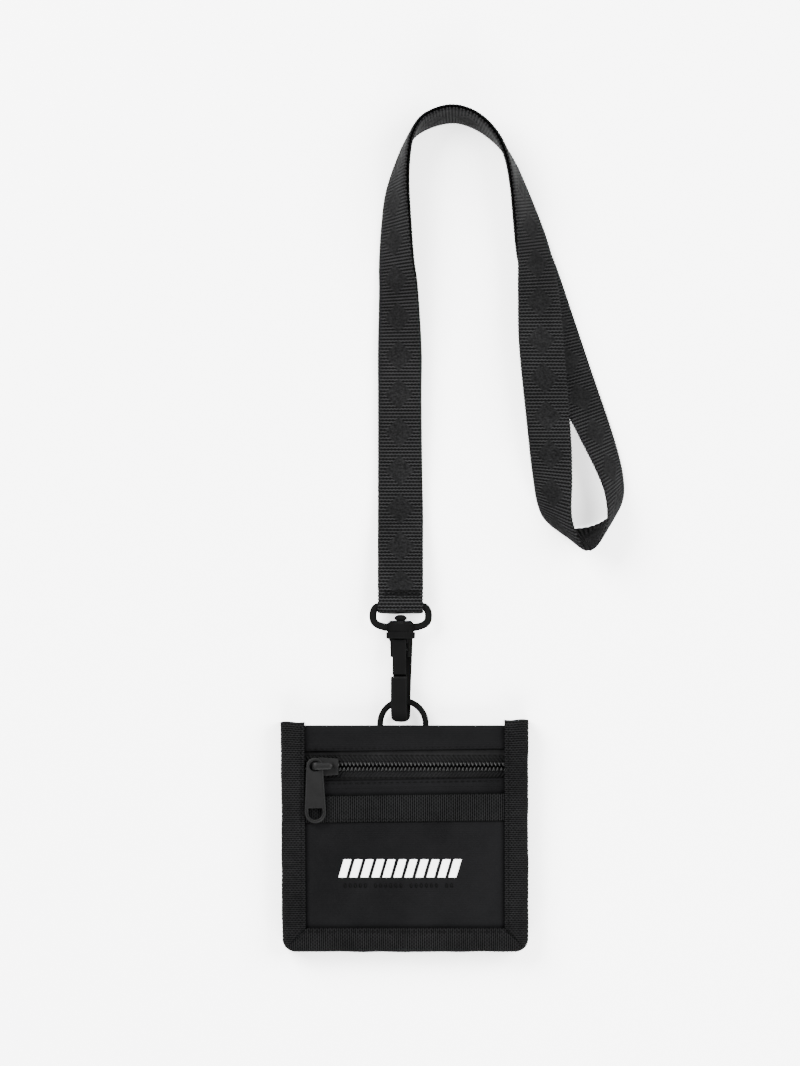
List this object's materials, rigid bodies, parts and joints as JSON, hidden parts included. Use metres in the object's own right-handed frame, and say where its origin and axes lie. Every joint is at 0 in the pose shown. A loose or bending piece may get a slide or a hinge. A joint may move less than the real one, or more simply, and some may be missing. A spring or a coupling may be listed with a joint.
{
  "type": "neck pouch wallet",
  "caption": "Flat fabric neck pouch with a zip pocket, a slip pocket, a D-ring, a swivel snap hook and a long webbing neck strap.",
  "frame": {"origin": "middle of the pouch's back, on the flat face that it lies on", "axes": "+Z out of the pouch's front, +Y towards its mouth and the strap, +X to the right of the front"},
  "size_m": [0.1529, 0.3759, 0.0208],
  "materials": {
    "oxford_cloth": "fine plain-weave polyester, matte",
    "ribbed_tape": "ribbed grosgrain tape, soft sheen",
    "zip_tape": "woven zip tape, matte",
    "nylon_coil": "moulded nylon coil, glossy",
    "white_thread": "raised white embroidery",
    "zip_metal": "matte black paint",
    "black_metal": "satin black paint",
    "dark_steel": "blackened steel",
    "strap_webbing": "ribbed polyester webbing with a tone-on-tone woven pattern",
    "black_thread": "thick bonded thread"
  },
  "bodies": {
    "pouch": {"back_panel": "oxford_cloth", "divider_panel": "oxford_cloth", "front_top_panel": "oxford_cloth", "front_lower_panel": "oxford_cloth", "slip_pocket_panel": "oxford_cloth", "slip_pocket_trim": "ribbed_tape", "edge_binding": "ribbed_tape", "zip_tape_upper": "zip_tape", "zip_tape_lower": "zip_tape", "zip_coil_upper": "nylon_coil", "zip_coil_lower": "nylon_coil", "ring_tab": "ribbed_tape", "front_motif": "white_thread"},
    "zip_slider": {"slider_body": "zip_metal", "slider_bridge": "zip_metal"},
    "zip_pull": {"pull_tab": "zip_metal"},
    "tether_ring": {"d_ring": "black_metal"},
    "snap_hook": {"hook_body": "black_metal", "gate_pin": "dark_steel", "gate_spring": "dark_steel", "swivel_rivet": "black_metal"},
    "hook_gate": {"gate_lever": "black_metal"},
    "swivel": {"swivel_eye": "black_metal"},
    "strap": {"neck_strap": "strap_webbing", "strap_tack": "black_thread"}
  },
  "joints": [
    {"name": "zip_slide", "type": "slide", "parent": "pouch", "child": "zip_slider", "axis": [1, 0, 0], "range_m": [0, 0.073]},
    {"name": "pull_swing", "type": "hinge", "parent": "zip_slider", "child": "zip_pull", "pos_m": [-0.04, 0.0317, 0.0118], "axis": [0, 0, 1], "range_deg": [-90, 45]},
    {"name": "ring_swing", "type": "hinge", "parent": "pouch", "child": "tether_ring", "pos_m": [-0.0009, 0.0472, 0.0049], "axis": [1, 0, 0], "range_deg": [-38, 15]},
    {"name": "hook_swing", "type": "hinge", "parent": "tether_ring", "child": "snap_hook", "pos_m": [-0.0019, 0.0605, 0.0049], "axis": [1, 0, 0], "range_deg": [-35, 35]},
    {"name": "gate_hinge", "type": "hinge", "parent": "snap_hook", "child": "hook_gate", "pos_m": [-0.00206, 0.0834, 0.00759], "axis": [0.9877, 0, 0.1564], "range_deg": [0, 20], "stiffness_Nm_per_rad": 0.02, "springref_deg": -28.65, "deforming": ["gate_spring"]},
    {"name": "swivel_spin", "type": "hinge", "parent": "snap_hook", "child": "swivel", "pos_m": [-0.0019, 0.0938, 0.0066], "axis": [0, 1, 0], "continuous": true},
    {"name": "strap_swing", "type": "hinge", "parent": "swivel", "child": "strap", "pos_m": [-0.0019, 0.1025, 0.0066], "axis": [1, 0, 0], "range_deg": [-60, 100]}
  ]
}
